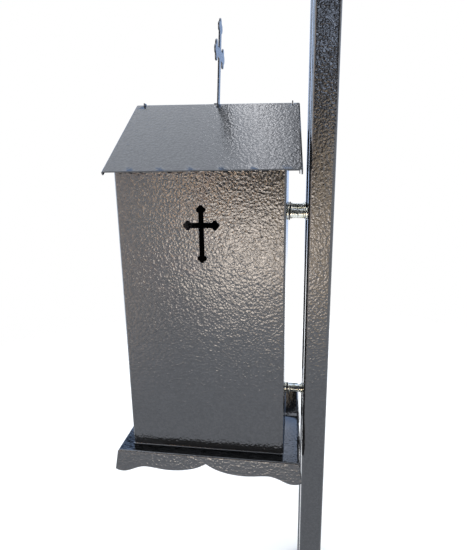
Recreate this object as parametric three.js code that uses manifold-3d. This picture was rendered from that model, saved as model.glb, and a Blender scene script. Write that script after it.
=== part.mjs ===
// Grave cross of square steel tube with a house-shaped candle lantern on its front.
// Millimetres, +Z up. The origin is on the ground between the two uprights, the lantern
// stands towards -Y and the arms of the cross run along X.
import * as THREE from 'three';
import { mergeVertices } from 'three/addons/utils/BufferGeometryUtils.js';
import Module from 'manifold-3d';

const wasm = await Module();
wasm.setup();

// Clearance left between pieces that touch
const GAP = 0.3;

// Square tube of the cross
const TUBE = 30;
const TUBE_WALL = 2;
const TUBE_CORNER = 4;

// Outline of the cross, from the ground up
const POST_SPACING = 104;
const ARM_SPACING = 100;
const CROSS_HEIGHT = 1330;
const ARM_DROP = 250;
const CROSS_SPAN = 660;

// Lantern body, a box of thin sheet
const SHEET = 1.5;
const SHEET_BEND = 2.5;
const BODY_WIDTH = 180;
const BODY_LENGTH = 200;
const PLATE_LEVEL = 300;
const EAVE_RISE = 356;

// Base plate and its wavy aprons
const PLATE_SIDE_MARGIN = 17;
const PLATE_FRONT_MARGIN = 16.5;
const PLATE_REAR_MARGIN = 20.5;
const APRON_FLARE = THREE.MathUtils.degToRad(8);
const APRON_CORNER = 26.2;
const APRON_LOBE = 28.6;
const APRON_CREST = 20.2;
const APRON_SWAG = 22.6;
const APRON_CUSP = 10.4;
const APRON_HOOK = 6.6;

// Waves of an apron's lower edge, at shares of its half length from the middle
const WAVE = { cusp: 0.08, rise: 0.22, swag: 0.415, swagEnd: 0.52, fall: 0.6, crest: 0.68 };
const OUTER_WAVE = { dip: 0.78, lobeStart: 0.86, lobe: 0.94 };

// Lid: folded roof sheet on two gable plates, pushed back until its front fold stops on the body
const EAVE_OVERHANG = 28;
const RIDGE_OVERHANG = 12.5;
const RIDGE_RISE = 84.2;
const RIDGE_DROP = 1.9;
const END_FOLD = 6;
const FOLD_SKEW = 4;
const FRONT_GABLE_INSET = 11.4;
const REAR_GABLE_INSET = 9;
const TAB_WIDTH = 8;
const TAB_RISE = 2.2;

// Front opening for the candle
const MOUTH_SIDE = 18;
const MOUTH_SILL = 24;
const MOUTH_TOP = 40;
const MOUTH_ARCH = 45;

// Budded cross that is cut through each side wall
const WINDOW = { top: 23.5, bottom: 44.5, reach: 21.5, bar: 6, lobe: 3, lobeOut: 2.6, lobeBack: 5.4 };
const WINDOW_LEVEL = 295;
const WINDOW_BACK = 2;

// Budded cross that stands on the ridge
const FINIAL = { top: 41, bottom: 66, reach: 33, bar: 8, lobe: 5.2, lobeOut: 6.8, lobeBack: 10.4 };
const FINIAL_SHEET = 2;
const FINIAL_RISE = 58;
const FINIAL_BACK = 2.5;
const FINIAL_LEAN = THREE.MathUtils.degToRad(2.8);

// Fixings between the lantern and the uprights
const BOLT = 6;
const BOLT_HEAD = 4;
const NUT_FLATS = 10;
const WASHER_SIZE = 15;
const WASHER = 1.8;
const SEAL = 1.5;
const NUT_COLLAR = 2.2;
const NUT_HEIGHT = 6.8;
const FLANGE = 2;
const RIVET_BODY = 9;
const RIVET_DEPTH = 10;
const UPPER_FIXING = 305;
const LOWER_FIXING = 47;

// How far a cutter reaches past what it cuts, the sides of round pieces and the roof's strips
const REACH = 1;
const SIDES = { hexagon: 6, window: 16, bar: 20, collar: 24, washer: 28 };
const ROOF_STEPS = 8;

// Places that follow from the sizes above
const POST_FACE = -TUBE / 2;
const STACK = [WASHER, SEAL, NUT_COLLAR + NUT_HEIGHT, NUT_HEIGHT, WASHER, FLANGE];
const STANDOFF = STACK.reduce((sum, height) => sum + height + GAP, GAP);
const BODY_REAR = POST_FACE - STANDOFF;
const BODY_MIDDLE = BODY_REAR - BODY_LENGTH / 2;
const ARM_LEVEL = CROSS_HEIGHT - ARM_DROP;
const ROOF_SPAN = BODY_WIDTH + 2 * EAVE_OVERHANG;
const RIDGE_LENGTH = BODY_LENGTH + RIDGE_OVERHANG;
const EAVE_LEVEL = PLATE_LEVEL + EAVE_RISE;
const RIDGE_LEVEL = EAVE_LEVEL + RIDGE_RISE;
const ROOF_PITCH = Math.atan2(RIDGE_RISE, ROOF_SPAN / 2);
const ROOF_APEX = RIDGE_LEVEL - SHEET;
const ROOF_GAP = GAP / Math.cos(ROOF_PITCH);
const BODY_DROP = RIDGE_DROP * (1 - BODY_WIDTH / ROOF_SPAN);
const BODY_TOP = ROOF_APEX - (BODY_WIDTH / 2) * Math.tan(ROOF_PITCH) - ROOF_GAP - BODY_DROP;
const MITRE_GAP = GAP * Math.SQRT1_2;
const FOLD_STOP = BODY_WIDTH / 2 - END_FOLD / Math.sin(ROOF_PITCH);
const RIDGE_FRONT = BODY_REAR - BODY_LENGTH - GAP - SHEET + (FOLD_SKEW * FOLD_STOP) / (ROOF_SPAN / 2);
const RIDGE_MIDDLE = RIDGE_FRONT + RIDGE_LENGTH / 2;

// Finishes
const PAINT = { color: 0x4b4d51, roughness: 0.35, metalness: 0.6 };
const ZINC = { color: 0xc9ccc6, roughness: 0.3, metalness: 1 };
const RUBBER = { color: 0x17181a, roughness: 0.7, metalness: 0 };

// Turn a closed geometry into a solid that can be joined and cut
function solid(geometry) {
  geometry.deleteAttribute('normal');
  geometry.deleteAttribute('uv');
  const merged = mergeVertices(geometry, 1e-4);
  const vertProperties = new Float32Array(merged.attributes.position.array);
  const triVerts = new Uint32Array(merged.index.array);
  const mesh = new wasm.Mesh({ numProp: 3, vertProperties, triVerts });
  mesh.merge();
  return new wasm.Manifold(mesh);
}

// Turn a solid back into a geometry
function surface(body) {
  const mesh = body.getMesh();
  const geometry = new THREE.BufferGeometry();
  geometry.setAttribute('position', new THREE.BufferAttribute(mesh.vertProperties, 3));
  geometry.setIndex(new THREE.BufferAttribute(mesh.triVerts, 1));
  geometry.computeVertexNormals();
  return geometry;
}

function extrude(shape, depth, curveSegments = 3) {
  return new THREE.ExtrudeGeometry(shape, { depth, bevelEnabled: false, curveSegments });
}

function box(width, length, height, x, y, z) {
  return new THREE.BoxGeometry(width, length, height).translate(x, y, z);
}

// Round bar along Y, from one Y to another
function barAlongY(radius, from, to, x, z, sides = SIDES.bar) {
  const bar = new THREE.CylinderGeometry(radius, radius, to - from, sides);
  return bar.translate(x, (from + to) / 2, z);
}

// Rectangle with rounded corners, centred on the path's origin
function roundedRectangle(path, width, height, radius) {
  const x = width / 2 - radius;
  const y = height / 2 - radius;
  path.absarc(x, -y, radius, -Math.PI / 2, 0);
  path.absarc(x, y, radius, 0, Math.PI / 2);
  path.absarc(-x, y, radius, Math.PI / 2, Math.PI);
  path.absarc(-x, -y, radius, Math.PI, 1.5 * Math.PI);
  path.closePath();
  return path;
}

// Hollow rectangular section
function hollowSection(width, height, wall, radius) {
  const section = roundedRectangle(new THREE.Shape(), width, height, radius);
  const bore = roundedRectangle(new THREE.Path(), width - 2 * wall, height - 2 * wall, radius - wall);
  section.holes.push(bore);
  return section;
}

// Square tube along Z whose ends may be cut at a slant: a slope of 1 or -1 is a mitre
function tube(from, to, fromSlope = 0, toSlope = 0) {
  const geometry = extrude(hollowSection(TUBE, TUBE, TUBE_WALL, TUBE_CORNER), to - from, 2);
  geometry.translate(0, 0, from);
  const place = geometry.attributes.position;
  const middle = (from + to) / 2;
  for (let i = 0; i < place.count; i += 1) {
    const slope = place.getZ(i) > middle ? toSlope : fromSlope;
    place.setZ(i, place.getZ(i) + slope * place.getX(i));
  }
  return geometry;
}

// Lay a tube made along Z down along +X
function alongX(geometry) {
  return geometry.rotateY(Math.PI / 2);
}

// Cut the hole of a rivet nut through the front wall of a tube
function drillFront(geometry, x, z) {
  const radius = RIVET_BODY / 2 + GAP;
  const drill = barAlongY(radius, POST_FACE - REACH, POST_FACE + TUBE_WALL + REACH, x, z);
  return surface(solid(geometry).subtract(solid(drill)));
}

// Trefoil-ended cross in the XZ plane, from one Y to another, middle of the crossing at x = z = 0
function buddedCross(size, from, to, sides) {
  const middle = (from + to) / 2;
  const tall = size.top + size.bottom - 2 * size.lobe;
  const post = box(size.bar, to - from, tall, 0, middle, (size.top - size.bottom) / 2);
  const arm = box(2 * (size.reach - size.lobe), to - from, size.bar, 0, middle, 0);
  let cross = solid(post).add(solid(arm));
  const ends = [[size.top, 0, 1], [size.reach, 1, 0], [size.reach, -1, 0]];
  if (size.buddedFoot) {
    ends.push([size.bottom, 0, -1]);
  }
  for (const [length, dx, dz] of ends) {
    const tip = length - size.lobe;
    const back = length - size.lobeBack;
    const lobes = [[tip, 0], [back, size.lobeOut], [back, -size.lobeOut]];
    for (const [along, across] of lobes) {
      const x = along * dx + across * dz;
      const z = along * dz + across * dx;
      cross = cross.add(solid(barAlongY(size.lobe, from, to, x, z, sides)));
    }
  }
  return cross;
}

// Uprights, rails and arms of the cross
function makeCross(add) {
  const postX = POST_SPACING / 2;
  const topLevel = CROSS_HEIGHT - TUBE / 2;
  const upperFixing = PLATE_LEVEL + UPPER_FIXING;
  const right = tube(0, topLevel - MITRE_GAP, 0, 1).translate(postX, 0, 0);
  const left = tube(0, topLevel - MITRE_GAP, 0, -1).translate(-postX, 0, 0);
  add('upright_right', drillFront(right, postX, upperFixing), PAINT);
  add('upright_left', drillFront(left, -postX, upperFixing), PAINT);

  const rail = alongX(tube(-postX + MITRE_GAP, postX - MITRE_GAP, 1, -1));
  add('top_rail', rail.translate(0, 0, topLevel), PAINT);

  const rungHalf = postX - TUBE / 2 - GAP;
  const rungLevel = PLATE_LEVEL + LOWER_FIXING;
  const rung = alongX(tube(-rungHalf, rungHalf)).translate(0, 0, rungLevel);
  add('lower_rung', drillFront(rung, 0, rungLevel), PAINT);

  const root = postX + TUBE / 2 + GAP;
  const end = CROSS_SPAN / 2 - TUBE / 2;
  const half = ARM_SPACING / 2;
  for (const [side, turn] of [['right', 0], ['left', Math.PI]]) {
    const upper = alongX(tube(root, end - MITRE_GAP, 0, -1)).translate(0, 0, ARM_LEVEL + half);
    const lower = alongX(tube(root, end - MITRE_GAP, 0, 1)).translate(0, 0, ARM_LEVEL - half);
    const cap = tube(-half + MITRE_GAP, half - MITRE_GAP, -1, 1).translate(end, 0, ARM_LEVEL);
    add(`arm_${side}_upper`, upper.rotateZ(turn), PAINT);
    add(`arm_${side}_lower`, lower.rotateZ(turn), PAINT);
    add(`arm_${side}_end`, cap.rotateZ(turn), PAINT);
  }
}

// Arched mouth in the front wall, as a block that reaches through it
function mouthBlock() {
  const half = BODY_WIDTH / 2 - MOUTH_SIDE;
  const top = BODY_TOP - MOUTH_TOP;
  const shape = new THREE.Shape();
  shape.moveTo(-half, PLATE_LEVEL + MOUTH_SILL);
  shape.lineTo(half, PLATE_LEVEL + MOUTH_SILL);
  shape.lineTo(half, top - MOUTH_ARCH);
  shape.absellipse(0, top - MOUTH_ARCH, half, MOUTH_ARCH, 0, Math.PI);
  const block = extrude(shape, 4 * SHEET, 10).rotateX(Math.PI / 2);
  return block.translate(0, BODY_MIDDLE - BODY_LENGTH / 2 + 2 * SHEET, 0);
}

// Four-sided body with its mouth, side windows and bolt holes
function makeBody(add) {
  const section = hollowSection(BODY_WIDTH, BODY_LENGTH, SHEET, SHEET_BEND);
  const shell = extrude(section, BODY_TOP - PLATE_LEVEL - GAP, 2);
  let body = solid(shell.translate(0, BODY_MIDDLE, PLATE_LEVEL + GAP));
  body = body.subtract(solid(mouthBlock()));

  const reach = BODY_WIDTH / 2 + SHEET;
  const windows = surface(buddedCross({ ...WINDOW, buddedFoot: true }, -reach, reach, SIDES.window));
  windows.rotateZ(Math.PI / 2).translate(0, BODY_MIDDLE + WINDOW_BACK, PLATE_LEVEL + WINDOW_LEVEL);
  body = body.subtract(solid(windows));

  for (const [x, z] of fixingPlaces()) {
    const drill = barAlongY(BOLT / 2 + GAP, BODY_REAR - 2 * SHEET, BODY_REAR + SHEET, x, z);
    body = body.subtract(solid(drill));
  }
  add('lantern_body', surface(body), PAINT);
}

// Right half of an apron, hanging from its fold: a cusp in the middle, then a swag and a lobe
function apronShape(half) {
  const shape = new THREE.Shape();
  const corner = half + APRON_CORNER * Math.sin(APRON_FLARE);
  const at = (share, depth) => [share * half, -depth];
  shape.moveTo(0, 0);
  shape.lineTo(half, 0);
  shape.lineTo(corner, -APRON_CORNER);
  shape.quadraticCurveTo(half, -APRON_LOBE, ...at(OUTER_WAVE.lobe, APRON_LOBE));
  shape.bezierCurveTo(
    ...at(OUTER_WAVE.lobeStart, APRON_LOBE),
    ...at(OUTER_WAVE.dip, APRON_CREST),
    ...at(WAVE.crest, APRON_CREST),
  );
  shape.bezierCurveTo(
    ...at(WAVE.fall, APRON_CREST),
    ...at(WAVE.swagEnd, APRON_SWAG),
    ...at(WAVE.swag, APRON_SWAG),
  );
  shape.bezierCurveTo(
    ...at(WAVE.rise, APRON_SWAG),
    ...at(WAVE.cusp, APRON_CUSP + APRON_HOOK),
    ...at(0, APRON_CUSP),
  );
  return shape;
}

// One apron standing out from the middle of the plate by a distance, towards -Y
function apron(half, distance) {
  const rightHalf = solid(extrude(apronShape(half), SHEET, 5));
  const whole = rightHalf.add(rightHalf.mirror([1, 0, 0]));
  const geometry = surface(whole).translate(0, 0, -SHEET);
  return geometry.rotateX(-APRON_FLARE).rotateX(Math.PI / 2).translate(0, -distance, 0);
}

// Base plate with an apron folded down on each side
function makeBasePlate(add) {
  const halfWidth = BODY_WIDTH / 2 + PLATE_SIDE_MARGIN;
  const halfLength = (BODY_LENGTH + PLATE_FRONT_MARGIN + PLATE_REAR_MARGIN) / 2;
  const middle = BODY_MIDDLE + (PLATE_REAR_MARGIN - PLATE_FRONT_MARGIN) / 2;
  let plate = solid(box(2 * halfWidth, 2 * halfLength, SHEET, 0, 0, -SHEET / 2));
  for (let turn = 0; turn < 4; turn += 1) {
    const [half, distance] = turn % 2 === 0 ? [halfWidth, halfLength] : [halfLength, halfWidth];
    const side = apron(half, distance).rotateZ((turn * Math.PI) / 2);
    plate = plate.add(solid(side));
  }
  add('base_plate', surface(plate).translate(0, middle, PLATE_LEVEL), PAINT);
}

// Point on the roof's slope: along it from the ridge, and over or under its inner face
function slopePoint(along, over, side) {
  const x = along * Math.cos(ROOF_PITCH) + over * Math.sin(ROOF_PITCH);
  const z = ROOF_APEX - along * Math.sin(ROOF_PITCH) + over * Math.cos(ROOF_PITCH);
  return [side * x, z];
}

// Section of a band that follows both slopes, with a rounded ridge where the sheet is bent
function slopeBand(over, under, bent) {
  const slope = (ROOF_SPAN / 2 - SHEET * Math.sin(ROOF_PITCH)) / Math.cos(ROOF_PITCH);
  const shape = new THREE.Shape();
  shape.moveTo(0, ROOF_APEX + under / Math.cos(ROOF_PITCH));
  shape.lineTo(...slopePoint(slope, under, -1));
  shape.lineTo(...slopePoint(slope, over, -1));
  if (bent) {
    shape.absarc(0, ROOF_APEX, over, Math.PI / 2 + ROOF_PITCH, Math.PI / 2 - ROOF_PITCH, true);
  } else {
    shape.lineTo(0, ROOF_APEX + over / Math.cos(ROOF_PITCH));
  }
  shape.lineTo(...slopePoint(slope, over, 1));
  shape.lineTo(...slopePoint(slope, under, 1));
  return shape;
}

// Stand a section up in the XZ plane, between two distances from the middle of the ridge.
// The ridge falls to the rear, and a skew makes the piece longer at the eaves.
function lidPiece(shape, from, to, skew = 0, steps = 1) {
  const options = { depth: to - from, bevelEnabled: false, curveSegments: 2, steps };
  const geometry = new THREE.ExtrudeGeometry(shape, options).rotateX(Math.PI / 2).translate(0, to, 0);
  const place = geometry.attributes.position;
  for (let i = 0; i < place.count; i += 1) {
    const outwards = Math.abs(place.getX(i)) / (ROOF_SPAN / 2);
    const rearwards = place.getY(i) / (RIDGE_LENGTH / 2);
    place.setZ(i, place.getZ(i) - RIDGE_DROP * rearwards * (1 - outwards));
    place.setY(i, place.getY(i) + skew * rearwards * outwards);
  }
  return geometry;
}

// Slot through the ridge for a tab or the finial's foot
function ridgeSlot(width, thickness, y) {
  return solid(box(width + 2 * GAP, thickness + 2 * GAP, RIDGE_RISE / 2, 0, y, RIDGE_LEVEL));
}

// Roof sheet, gable plates and finial of the lid
function makeLid(add) {
  const end = RIDGE_LENGTH / 2;
  const frontGable = FRONT_GABLE_INSET - end;
  const rearGable = end - REAR_GABLE_INSET;
  let roof = solid(lidPiece(slopeBand(SHEET, 0, true), -end, end, FOLD_SKEW, ROOF_STEPS));
  for (const [from, to] of [[-end, -end + SHEET], [end - SHEET, end]]) {
    roof = roof.add(solid(lidPiece(slopeBand(SHEET / 2, -END_FOLD, false), from, to, FOLD_SKEW)));
  }
  for (const y of [frontGable, rearGable]) {
    roof = roof.subtract(ridgeSlot(TAB_WIDTH, SHEET, y));
  }
  roof = roof.subtract(ridgeSlot(FINIAL.bar, FINIAL_SHEET, FINIAL_BACK));
  add('lid_roof', surface(roof).translate(0, RIDGE_MIDDLE, 0), PAINT);

  const tab = TAB_WIDTH / 2;
  const shoulder = ROOF_APEX - tab * Math.tan(ROOF_PITCH) - ROOF_GAP;
  const foot = BODY_WIDTH / 2 - 2 * GAP;
  const plate = new THREE.Shape();
  plate.moveTo(-foot, BODY_TOP + GAP);
  plate.lineTo(foot, BODY_TOP + GAP);
  plate.lineTo(tab, shoulder);
  plate.lineTo(tab, RIDGE_LEVEL + TAB_RISE);
  plate.lineTo(-tab, RIDGE_LEVEL + TAB_RISE);
  plate.lineTo(-tab, shoulder);
  for (const [name, y] of [['lid_gable_front', frontGable], ['lid_gable_rear', rearGable]]) {
    const gablePlate = lidPiece(plate, y - SHEET / 2, y + SHEET / 2);
    add(name, gablePlate.translate(0, RIDGE_MIDDLE, 0), PAINT);
  }

  const finial = surface(buddedCross(FINIAL, -FINIAL_SHEET / 2, FINIAL_SHEET / 2, SIDES.bar));
  finial.translate(0, 0, FINIAL_RISE).rotateX(-FINIAL_LEAN);
  add('finial_cross', finial.translate(0, RIDGE_MIDDLE + FINIAL_BACK, RIDGE_LEVEL), PAINT);
}

// The three fixings: x and z of each bolt
function fixingPlaces() {
  const upper = PLATE_LEVEL + UPPER_FIXING;
  return [[POST_SPACING / 2, upper], [-POST_SPACING / 2, upper], [0, PLATE_LEVEL + LOWER_FIXING]];
}

// Hexagonal or round piece along Y with the bolt's clearance hole through it
function ring(radius, from, to, x, z, sides) {
  const turn = sides === SIDES.hexagon ? Math.PI / 6 : 0;
  const outer = barAlongY(radius, from, to, 0, 0, sides).rotateY(turn).translate(x, 0, z);
  const bore = barAlongY(BOLT / 2 + GAP, from - REACH, to + REACH, x, z);
  return solid(outer).subtract(solid(bore));
}

// Bolt, washers, nuts and rivet nut of one fixing
function makeFixing(add, name, x, z) {
  const hexagon = NUT_FLATS / Math.sqrt(3);
  const washer = WASHER_SIZE / 2;
  const faces = [BODY_REAR + GAP];
  for (const height of STACK) {
    faces.push(faces[faces.length - 1] + height + GAP);
  }
  const span = (index) => [faces[index], faces[index] + STACK[index]];

  const headFrom = BODY_REAR - SHEET - GAP - BOLT_HEAD;
  const head = barAlongY(hexagon, headFrom, headFrom + BOLT_HEAD, x, z, SIDES.hexagon);
  const shank = barAlongY(BOLT / 2, headFrom + REACH, POST_FACE + RIVET_DEPTH, x, z);
  add(`${name}_bolt`, surface(solid(head).add(solid(shank))), ZINC);

  add(`${name}_wall_washer`, surface(ring(washer, ...span(0), x, z, SIDES.washer)), ZINC);
  add(`${name}_seal`, surface(ring(washer, ...span(1), x, z, SIDES.washer)), RUBBER);

  const [nutFrom, nutTo] = span(2);
  const collar = ring(hexagon + GAP, nutFrom, nutFrom + NUT_COLLAR, x, z, SIDES.collar);
  const flats = ring(hexagon, nutFrom + NUT_COLLAR / 2, nutTo, x, z, SIDES.hexagon);
  add(`${name}_front_nut`, surface(collar.add(flats)), ZINC);
  add(`${name}_back_nut`, surface(ring(hexagon, ...span(3), x, z, SIDES.hexagon)), ZINC);
  add(`${name}_post_washer`, surface(ring(hexagon + GAP, ...span(4), x, z, SIDES.collar)), ZINC);

  const [flangeFrom, flangeTo] = span(5);
  const flange = ring(washer, flangeFrom, flangeTo, x, z, SIDES.washer);
  const sleeve = ring(RIVET_BODY / 2, flangeFrom + FLANGE / 2, POST_FACE + RIVET_DEPTH, x, z, SIDES.bar);
  add(`${name}_rivet_nut`, surface(flange.add(sleeve)), ZINC);
}

function makeFixings(add) {
  const names = ['fix_right', 'fix_left', 'fix_low'];
  fixingPlaces().forEach(([x, z], index) => makeFixing(add, names[index], x, z));
}

const model = new THREE.Group();

function addMesh(name, geometry, finish) {
  const mesh = new THREE.Mesh(geometry, new THREE.MeshStandardMaterial(finish));
  mesh.name = name;
  model.add(mesh);
}

makeCross(addMesh);
makeBody(addMesh);
makeBasePlate(addMesh);
makeLid(addMesh);
makeFixings(addMesh);

export default model;
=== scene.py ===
"""Fine shapes, finishes and studio stage for a grave cross with a house-shaped candle lantern.

Everything is in metres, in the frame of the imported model: +Z up, the lantern towards -Y.
"""

import math

import bmesh
import bpy
from bpy.props import FloatProperty, FloatVectorProperty, PointerProperty
from mathutils import Matrix, Vector


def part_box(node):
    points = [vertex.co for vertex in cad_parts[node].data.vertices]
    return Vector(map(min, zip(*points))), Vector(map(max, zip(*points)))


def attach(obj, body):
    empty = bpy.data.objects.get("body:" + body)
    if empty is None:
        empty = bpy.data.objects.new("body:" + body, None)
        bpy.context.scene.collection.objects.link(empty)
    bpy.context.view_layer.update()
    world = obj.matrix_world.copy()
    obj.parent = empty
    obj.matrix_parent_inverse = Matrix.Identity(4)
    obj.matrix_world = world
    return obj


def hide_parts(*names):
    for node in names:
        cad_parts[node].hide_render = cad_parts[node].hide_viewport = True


bl_info = {
    "name": "Grave Cross with Lantern",
    "version": (1, 0, 0),
    "blender": (4, 5, 0),
    "location": "3D View > Sidebar > Grave Cross",
    "description": "Dresses a tubular grave cross and its candle lantern, piece by piece",
    "category": "Add Mesh",
}

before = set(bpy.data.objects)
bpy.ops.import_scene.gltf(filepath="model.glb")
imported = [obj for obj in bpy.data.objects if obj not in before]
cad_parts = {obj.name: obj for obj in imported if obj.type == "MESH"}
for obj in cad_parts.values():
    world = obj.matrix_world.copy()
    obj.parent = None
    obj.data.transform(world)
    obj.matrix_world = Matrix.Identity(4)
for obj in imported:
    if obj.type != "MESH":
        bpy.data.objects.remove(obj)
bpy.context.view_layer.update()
BODY = "root"
X, Y, Z = Vector((1, 0, 0)), Vector((0, 1, 0)), Vector((0, 0, 1))


def length(name, description, default):
    """A size in metres, shown with its unit."""
    return FloatProperty(
        name=name, description=description, default=default, min=0, precision=5,
        subtype="DISTANCE", unit="LENGTH",
    )


def share(name, description, default):
    """A plain number."""
    return FloatProperty(name=name, description=description, default=default, precision=4)


def angle(name, description, degrees):
    """An angle, shown in degrees."""
    return FloatProperty(
        name=name, description=description, default=math.radians(degrees), subtype="ANGLE", unit="ROTATION"
    )


def colour(name, description, default):
    """A linear colour."""
    return FloatVectorProperty(
        name=name, description=description, default=default, size=3, min=0, soft_max=1, subtype="COLOR"
    )


class GraveCrossTubes(bpy.types.PropertyGroup):
    """Square tubes of the cross"""

    wall: length("Wall", "Thickness of the tube's wall", 0.002)
    corner: length("Corner", "Outer radius of the tube's corners", 0.004)
    mitre_gap: length("Mitre gap", "Clearance along a tube that the weld of a mitre closes", 0.00021)
    root_gap: length("Root gap", "Clearance at a tube's butt end that the weld closes", 0.0003)
    weld: length("Weld", "Leg of the fillet welds", 0.0026)
    ripple: length("Ripple", "Distance between the ripples of a weld", 0.0019)
    edge: length("Edge", "Rounding of the tubes' cut edges", 0.00025)


class GraveCrossLantern(bpy.types.PropertyGroup):
    """Sheet metal of the lantern"""

    sheet: length("Sheet", "Thickness of the steel sheet", 0.0015)
    bend: length("Bend", "Outer radius of the body's four bends", 0.0025)
    edge: length("Edge", "Rounding that the paint leaves on cut edges", 0.00035)
    seam: length("Seam", "Leg of the fillet between the body and its plate", 0.0011)
    mouth_side: length("Mouth side", "Width of the wall left beside the mouth", 0.018)
    mouth_sill: length("Mouth sill", "Height of the wall left under the mouth", 0.024)
    mouth_top: length("Mouth top", "Height of the wall left over the mouth", 0.040)
    mouth_arch: length("Mouth arch", "Rise of the mouth's arch", 0.045)
    window_rise: length("Window rise", "Height of the window's crossing over the plate", 0.295)
    window_back: length("Window back", "How far the window stands behind the body's middle", 0.002)
    side_margin: length("Side margin", "How far the plate stands out beside the body", 0.017)
    front_margin: length("Front margin", "How far the plate stands out before the body", 0.0165)
    rear_margin: length("Rear margin", "How far the plate stands out behind the body", 0.0205)
    flare: angle("Flare", "How far the aprons lean outwards", 8)
    plate_bend: length("Plate bend", "Outer radius of the bends between plate and aprons", 0.0022)


class GraveCrossRoof(bpy.types.PropertyGroup):
    """Lid of the lantern"""

    eave: length("Eave", "Height of the eaves' upper edge over the plate", 0.356)
    ridge_bend: length("Ridge bend", "Outer radius of the bend along the ridge", 0.003)
    fold: length("Fold", "Depth of the fold at the roof's rear end, under its bend", 0.006)
    front_fold: length("Front fold", "Depth of the fold at the roof's front end, under its bend", 0.0036)
    fold_bend: length("Fold bend", "Outer radius of the bends at the roof's ends", 0.0019)
    skew: length("Skew", "How much longer the roof is along its eaves, at each end", 0.004)
    drop: length("Drop", "How far the ridge falls from its middle to its rear end", 0.0019)
    slot_width: length("Slot width", "Width of the gable tabs' slots through the ridge", 0.0086)
    slot_gap: length("Slot gap", "Clearance before and behind what stands in a slot", 0.0003)
    tab: length("Tab", "Half the width of the gable plates' tabs", 0.004)
    tuck: length("Tuck", "Clearance under the ridge beside a tab", 0.00037)
    finial_lean: angle("Finial lean", "How far the finial leans back", 2.8)
    finial_edge: length("Finial edge", "Rounding of the finial's edges", 0.0004)
    finial_bead: length("Finial bead", "Length of the weld bead before the finial's foot", 0.005)
    finial_weld: length("Finial weld", "Height of the weld bead before the finial's foot", 0.0015)


class GraveCrossFixings(bpy.types.PropertyGroup):
    """Zinc-plated fixings"""

    bolt: length("Bolt", "Diameter of the bolts", 0.006)
    clearance: length("Clearance", "Clearance round a bolt", 0.0003)
    flats: length("Flats", "Width of a nut across its flats", 0.010)
    collar: length("Collar", "Height of the front nut's round collar", 0.0022)
    pitch: length("Pitch", "Pitch of the bolts' thread", 0.001)
    rounding: length("Rounding", "Rounding of the washers' rims", 0.0004)
    blunt: length("Blunt", "How far a hexagon's corners are blunted", 0.00012)
    sink: length("Sink", "Countersink at both ends of a nut's bore", 0.0004)
    head: length("Head", "Height of a bolt's head", 0.004)
    flange: length("Flange", "Height of a rivet nut's flange", 0.002)
    barrel: length("Barrel", "Radius of a rivet nut's barrel", 0.0045)
    overlap: length("Overlap", "How far the forms of one fixing reach into each other", 0.0002)


class GraveCrossFinish(bpy.types.PropertyGroup):
    """Paint, zinc and rubber, and the painted shade inside the lantern's body"""

    paint: colour("Paint", "Anthracite enamel", (0.080, 0.082, 0.087))
    paint_low: colour("Paint in the dimples", "Enamel where the coat is thickest", (0.056, 0.058, 0.062))
    # The inner colour is painted shade: a near-black that stands for the shade falling inside the lantern's
    # body, not a coat the body has
    inner: colour("Inner paint", "Thin dark coat on the body's inside", (0.006, 0.006, 0.0065))
    dimple: length("Dimple", "Size of the hammered finish's dimples", 0.0030)
    relief: length("Relief", "Depth of the dimples", 0.00022)
    wave: length("Wave", "Depth of the sheet's slow waves", 0.0006)
    wave_size: length("Wave size", "Length of the sheet's slow waves", 0.11)
    gloss: share("Gloss", "Roughness of the enamel", 0.07)
    metal: share("Metal", "Share of metallic reflection in the enamel", 0.86)
    zinc: colour("Zinc", "Bright zinc plating", (0.70, 0.71, 0.66))
    zinc_tint: colour("Zinc tint", "Where the plating is yellowed", (0.62, 0.60, 0.44))
    rubber: colour("Rubber", "Black seal rubber", (0.012, 0.012, 0.013))


class GraveCrossStage(bpy.types.PropertyGroup):
    """Camera, light and floor"""

    eye: FloatVectorProperty(
        name="Eye", description="Place of the camera", default=(0.57637, -0.03108, 0.65364), size=3,
        precision=5, subtype="TRANSLATION", unit="LENGTH",
    )
    turn: angle("Turn", "How far the camera looks from -X towards -Y", 8.160)
    tilt: angle("Tilt", "How far the camera looks up", -13.408)
    roll: angle("Roll", "How far the camera is rolled", -0.835)
    focus: share("Focal length", "Focal length on a 36 mm sensor, in millimetres", 27.963)
    floor: colour("Floor", "Pale floor", (0.96, 0.96, 0.96))
    floor_size: length("Floor size", "Radius of the floor", 1.5)


class GraveCrossSettings(bpy.types.PropertyGroup):
    """All settings of the grave cross"""

    tubes: PointerProperty(type=GraveCrossTubes)
    lantern: PointerProperty(type=GraveCrossLantern)
    roof: PointerProperty(type=GraveCrossRoof)
    fixings: PointerProperty(type=GraveCrossFixings)
    finish: PointerProperty(type=GraveCrossFinish)
    stage: PointerProperty(type=GraveCrossStage)


# Shader nodes


class Wire:
    """An output socket. Arithmetic on it adds Math nodes."""

    def __init__(self, nodes, socket):
        self.nodes = nodes
        self.socket = socket

    def _math(self, operation, *values):
        return self.nodes.add("ShaderNodeMath", {"operation": operation}, dict(enumerate(values)))

    def __add__(self, other):
        return self._math("ADD", self, other)

    def __radd__(self, other):
        return self._math("ADD", other, self)

    def __sub__(self, other):
        return self._math("SUBTRACT", self, other)

    def __rsub__(self, other):
        return self._math("SUBTRACT", other, self)

    def __mul__(self, other):
        return self._math("MULTIPLY", self, other)

    def __rmul__(self, other):
        return self._math("MULTIPLY", other, self)


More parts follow.
